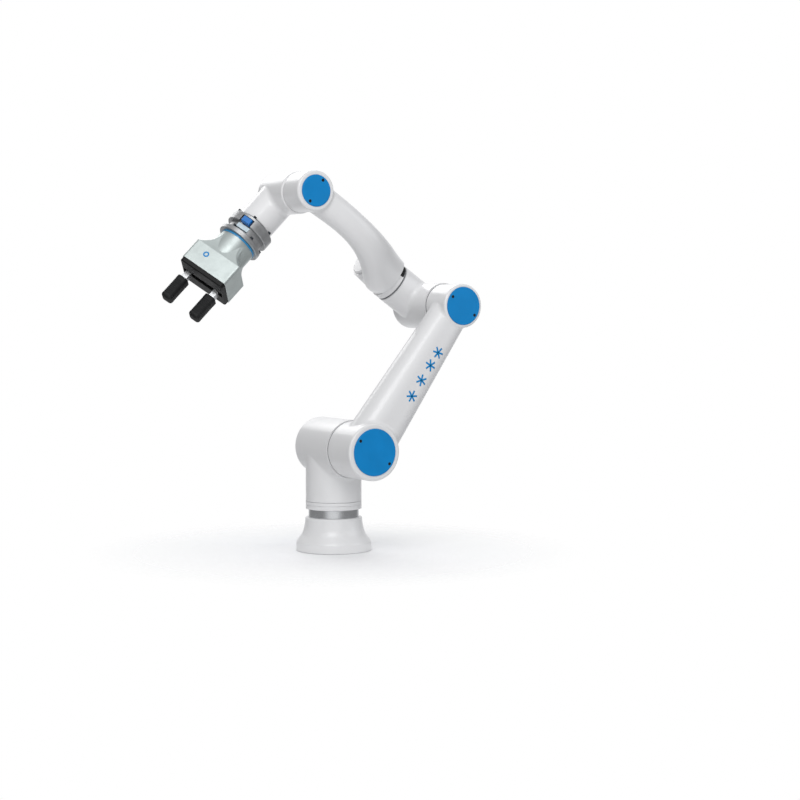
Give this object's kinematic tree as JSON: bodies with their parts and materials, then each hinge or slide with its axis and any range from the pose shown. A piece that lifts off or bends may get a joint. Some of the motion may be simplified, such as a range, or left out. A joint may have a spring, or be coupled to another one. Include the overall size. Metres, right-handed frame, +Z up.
{
  "type": "collaborative robot arm",
  "caption": "Tabletop collaborative robot arm with round joint covers, tapering links, a quick tool coupler and a parallel two-finger gripper.",
  "frame": {"origin": "centre of the base's underside, on axis 1", "axes": "+Z up along axis 1; axes 2, 3 and 5 lie along Y with their covers facing -Y; the upper arm leans towards +X and the tool is at -X"},
  "size_m": [0.6654, 0.282, 0.8158],
  "materials": {
    "white_casting": "gloss",
    "white_collar": "gloss",
    "cover_plate": "satin",
    "silver_ring": "satin",
    "socket": "satin",
    "blue_cap": "gloss",
    "dark_screws": "satin",
    "seal": "matte",
    "black_rubber": "matte",
    "machined_aluminium": "satin",
    "coupler_metal": "satin",
    "plate": "satin",
    "blue_button": "gloss",
    "light_ring": "gloss",
    "gripper_metal": "satin",
    "black_plastic": "satin",
    "motor_can": "satin",
    "steel_gear": "satin",
    "copper_winding": "satin",
    "jaw_metal": "satin"
  },
  "bodies": {
    "base": {"base_housing": "white_casting", "base_cover": "cover_plate", "base_ring": "silver_ring", "base_socket": "socket", "axis_1_output": "machined_aluminium"},
    "shoulder": {"shoulder_housing": "white_casting", "shoulder_collar": "white_collar", "shoulder_rear_cap": "blue_cap", "shoulder_cap_screws": "dark_screws", "axis_2_seam_ring": "seal", "shoulder_motor_stators": "copper_winding", "shoulder_motor_rotors": "steel_gear", "shoulder_gear_rings": "steel_gear"},
    "upper_arm": {"upper_arm_shell": "white_casting", "upper_arm_lower_cap": "blue_cap", "upper_arm_upper_cap": "blue_cap", "upper_arm_cap_screws": "dark_screws", "axis_2_output": "machined_aluminium", "axis_3_output": "machined_aluminium"},
    "elbow": {"elbow_housing": "white_casting", "elbow_rear_cap": "blue_cap", "axis_3_seam_ring": "seal", "axis_4_seam_ring": "seal", "elbow_motor_stators": "copper_winding", "elbow_motor_rotors": "steel_gear", "elbow_gear_rings": "steel_gear"},
    "forearm": {"forearm_shell": "white_casting", "forearm_service_plug": "black_rubber", "forearm_sleeve_cap": "white_casting", "forearm_wrist_cap": "blue_cap", "forearm_cap_screws": "dark_screws", "axis_4_output": "machined_aluminium", "axis_5_output": "machined_aluminium"},
    "wrist": {"wrist_housing": "white_casting", "wrist_rear_cap": "blue_cap", "axis_5_seam_ring": "seal", "wrist_motor_stators": "copper_winding", "wrist_motor_rotors": "steel_gear", "wrist_gear_rings": "steel_gear"},
    "tool": {"tool_flange": "machined_aluminium", "axis_6_output": "machined_aluminium", "coupler_robot_half": "coupler_metal", "coupler_tool_half": "coupler_metal", "coupler_screws": "dark_screws", "coupler_plate": "plate", "gripper_light_ring": "light_ring", "gripper_body": "gripper_metal", "gripper_face_plate": "black_plastic", "gripper_motor": "motor_can", "gripper_guide_rail": "steel_gear"},
    "release_button": {"release_button": "blue_button"},
    "pinion": {"gripper_pinion": "steel_gear"},
    "left_finger": {"jaw_left": "jaw_metal", "finger_pad_left": "black_rubber"},
    "right_finger": {"jaw_right": "jaw_metal", "finger_pad_right": "black_rubber"}
  },
  "joints": [
    {"name": "axis_1", "type": "hinge", "parent": "base", "child": "shoulder", "pos_m": [0, 0, 0.091], "axis": [0, 0, 1], "range_deg": [-360, 360]},
    {"name": "axis_2", "type": "hinge", "parent": "shoulder", "child": "upper_arm", "pos_m": [0, 0, 0.226], "axis": [0, 1, 0], "range_deg": [-171, 99]},
    {"name": "axis_3", "type": "hinge", "parent": "upper_arm", "child": "elbow", "pos_m": [0.22336, 0, 0.53343], "axis": [0, -1, 0], "range_deg": [-241.5, 52]},
    {"name": "axis_4", "type": "hinge", "parent": "elbow", "child": "forearm", "pos_m": [0.14754, 0, 0.58554], "axis": [-0.8241, 0, 0.5664], "range_deg": [-360, 360]},
    {"name": "axis_5", "type": "hinge", "parent": "forearm", "child": "wrist", "pos_m": [-0.12277, 0, 0.77132], "axis": [0, 1, 0], "range_deg": [-60, 230]},
    {"name": "axis_6", "type": "hinge", "parent": "wrist", "child": "tool", "pos_m": [-0.19018, 0, 0.70296], "axis": [-0.7022, 0, -0.712], "range_deg": [-360, 360]},
    {"name": "left_jaw_slide", "type": "slide", "parent": "tool", "child": "left_finger", "axis": [0.5422, -0.6481, -0.5347], "range_m": [-0.005, 0.0235]},
    {"name": "right_jaw_slide", "type": "slide", "parent": "tool", "child": "right_finger", "axis": [-0.5422, 0.6481, 0.5347], "range_m": [-0.005, 0.0235]},
    {"name": "pinion_turn", "type": "hinge", "parent": "tool", "child": "pinion", "pos_m": [-0.28146, 0, 0.6104], "axis": [-0.7022, 0, -0.712], "range_deg": [-140, 30]},
    {"name": "release_press", "type": "slide", "parent": "tool", "child": "release_button", "axis": [0.4615, 0.7615, -0.4551], "range_m": [0, 0.003], "stiffness_N_per_m": 1500, "springref_m": -0.001}
  ],
  "couplings": [
    {"joint": "right_jaw_slide", "follows": "left_jaw_slide", "ratio": 1},
    {"joint": "pinion_turn", "follows": "left_jaw_slide", "rad_per_m": -95.238}
  ]
}
